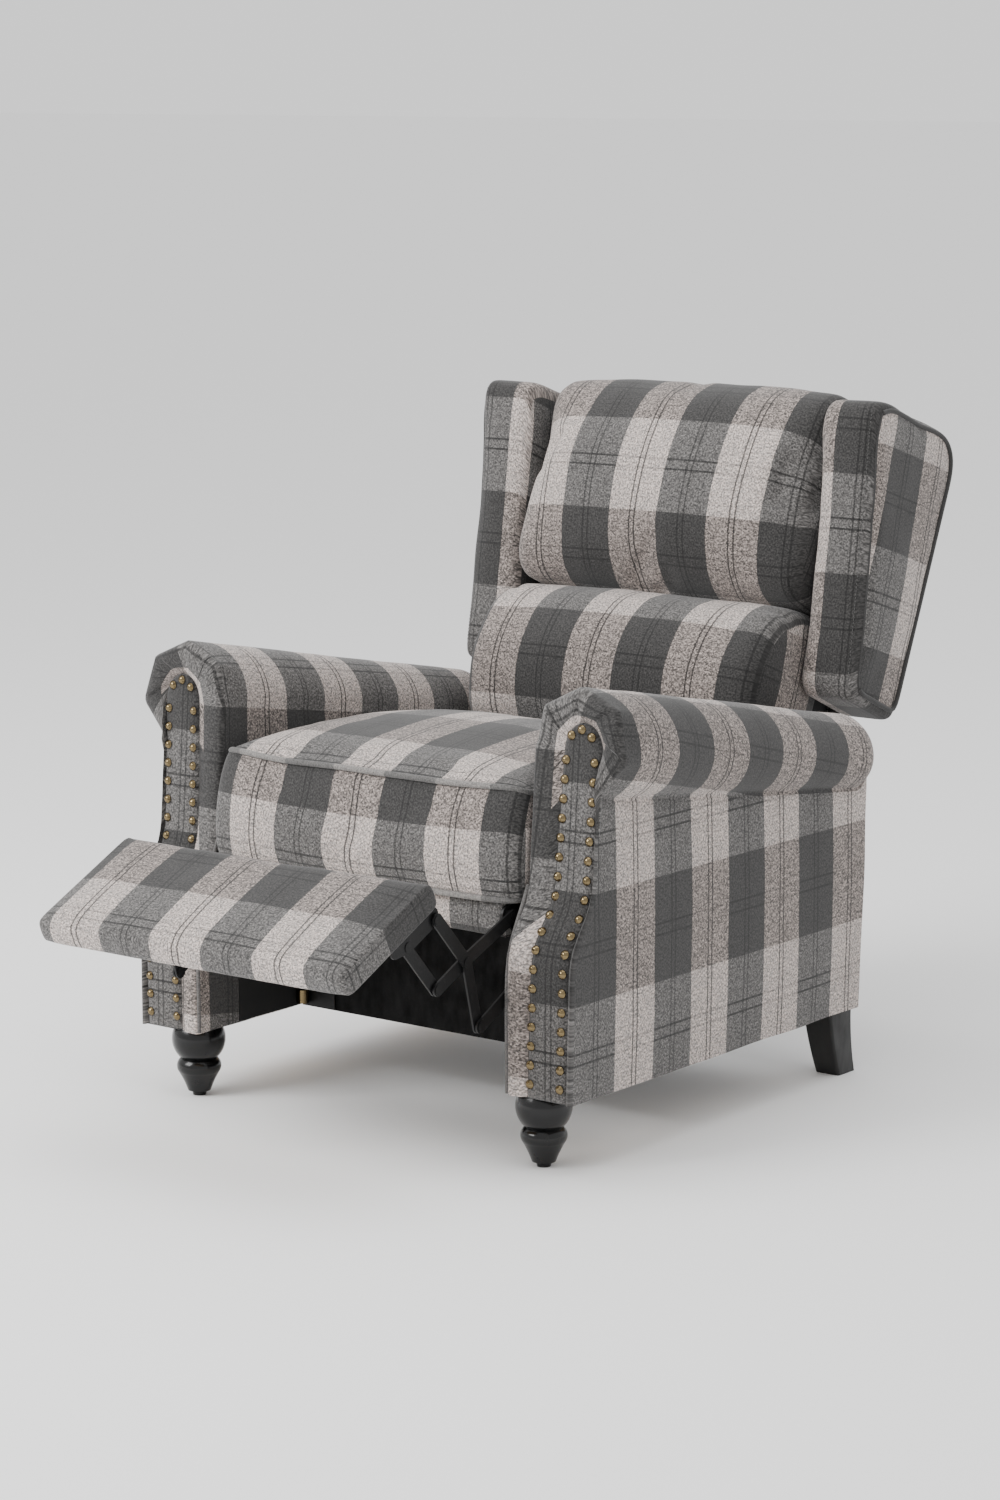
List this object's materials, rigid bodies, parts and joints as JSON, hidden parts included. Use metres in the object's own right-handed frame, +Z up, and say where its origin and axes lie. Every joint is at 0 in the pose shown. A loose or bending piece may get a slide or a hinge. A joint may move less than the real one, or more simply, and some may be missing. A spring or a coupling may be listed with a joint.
{
  "type": "push-back recliner armchair",
  "caption": "Push-back recliner armchair with scroll arms, nailed front strips, turned front legs, winged back, crowned cushions and a folding link footrest.",
  "frame": {"origin": "on the floor, midway between the footrest's front edge and the rear of the back, on the plane of symmetry", "axes": "+Z up; the sitter looks towards -Y; +X to the right when facing the chair"},
  "size_m": [0.826, 1.2986, 0.9586],
  "materials": {
    "checked_cloth": "woven check, soft",
    "black_cloth": "non-woven, matt",
    "pale_cloth": "woven, matt",
    "strap": "elastic web",
    "gloss_black_wood": "gloss lacquer",
    "black_wood": "satin lacquer",
    "frame_wood": "sawn",
    "brass": "antique",
    "nylon": "matt",
    "steel": "zinc plated",
    "black_steel": "black powder coat"
  },
  "bodies": {
    "base": {"arm_upholstery_right": "checked_cloth", "arm_upholstery_left": "checked_cloth", "arm_facing_right": "checked_cloth", "arm_facing_left": "checked_cloth", "front_leg_right": "gloss_black_wood", "front_leg_left": "gloss_black_wood", "rear_leg_right": "black_wood", "rear_leg_left": "black_wood", "seat_track_right": "black_steel", "seat_track_left": "black_steel", "recline_guide_right": "black_steel", "recline_guide_left": "black_steel", "side_frames": "frame_wood", "arm_linings": "black_cloth", "arm_rear_cloths": "black_cloth", "brass_nails": "brass", "leg_bolts": "steel", "cross_board": "black_wood", "rear_rail": "black_wood", "corner_plates": "black_steel", "corner_barrels": "brass", "drive_studs": "steel"},
    "seat": {"seat_plate_right": "black_steel", "seat_plate_left": "black_steel", "seat_frame": "frame_wood", "seat_straps": "strap", "seat_cloth": "pale_cloth", "seat_cushion": "checked_cloth", "glides": "nylon", "seat_pins": "steel"},
    "front_link": {"front_link_right": "black_steel", "front_link_left": "black_steel", "front_link_pins": "steel"},
    "cross_link": {"cross_link_right": "black_steel", "cross_link_left": "black_steel", "cross_link_pins": "steel"},
    "stay_link": {"stay_link_right": "black_steel", "stay_link_left": "black_steel"},
    "drive_link": {"drive_link_right": "black_steel", "drive_link_left": "black_steel"},
    "footrest": {"footrest_bracket_right": "black_steel", "footrest_bracket_left": "black_steel", "footrest_board": "frame_wood", "footrest_pad": "checked_cloth", "footrest_pins": "steel"},
    "back_carrier": {"back_carrier_right": "black_steel", "back_carrier_left": "black_steel", "carrier_pins": "steel"},
    "back": {"back_bracket_right": "black_steel", "back_bracket_left": "black_steel", "wing_right": "checked_cloth", "wing_left": "checked_cloth", "wing_boards": "frame_wood", "back_frame": "frame_wood", "back_straps": "strap", "outside_back": "checked_cloth", "lumbar_cushion": "checked_cloth", "head_cushion": "checked_cloth"}
  },
  "joints": [
    {"name": "push_back", "type": "slide", "parent": "base", "child": "seat", "axis": [0, -1, 0], "range_m": [-0.0588, 0.012]},
    {"name": "front_link_swing", "type": "hinge", "parent": "seat", "child": "front_link", "pos_m": [0, -0.2877, 0.32735], "axis": [-1, 0, 0], "range_deg": [-64.01, 13.07]},
    {"name": "cross_link_swing", "type": "hinge", "parent": "front_link", "child": "cross_link", "pos_m": [0, -0.3923, 0.28515], "axis": [-1, 0, 0], "range_deg": [-17.98, 88.07]},
    {"name": "stay_link_swing", "type": "hinge", "parent": "front_link", "child": "stay_link", "pos_m": [0, -0.44623, 0.25885], "axis": [-1, 0, 0], "range_deg": [-17.98, 88.07]},
    {"name": "footrest_tilt", "type": "hinge", "parent": "cross_link", "child": "footrest", "pos_m": [0, -0.453, 0.351], "axis": [-1, 0, 0], "range_deg": [-88.07, 17.98]},
    {"name": "drive_link_swing", "type": "hinge", "parent": "base", "child": "drive_link", "pos_m": [0, -0.24924, 0.2616], "axis": [-1, 0, 0], "range_deg": [-60.37, 12.33]},
    {"name": "carrier_tilt", "type": "hinge", "parent": "seat", "child": "back_carrier", "pos_m": [0, 0.243, 0.4], "axis": [-1, 0, 0], "range_deg": [-11.01, 2.25]},
    {"name": "back_recline", "type": "hinge", "parent": "back_carrier", "child": "back", "pos_m": [0, 0.26019, 0.4292], "axis": [-1, 0, 0], "range_deg": [0, 20]}
  ],
  "couplings": [
    {"joint": "front_link_swing", "follows": "push_back", "rad_per_m": 18.997},
    {"joint": "cross_link_swing", "follows": "push_back", "rad_per_m": -26.138},
    {"joint": "stay_link_swing", "follows": "push_back", "rad_per_m": -26.138},
    {"joint": "footrest_tilt", "follows": "push_back", "rad_per_m": 26.138},
    {"joint": "drive_link_swing", "follows": "push_back", "rad_per_m": 17.916},
    {"joint": "carrier_tilt", "follows": "push_back", "rad_per_m": 3.2651}
  ]
}
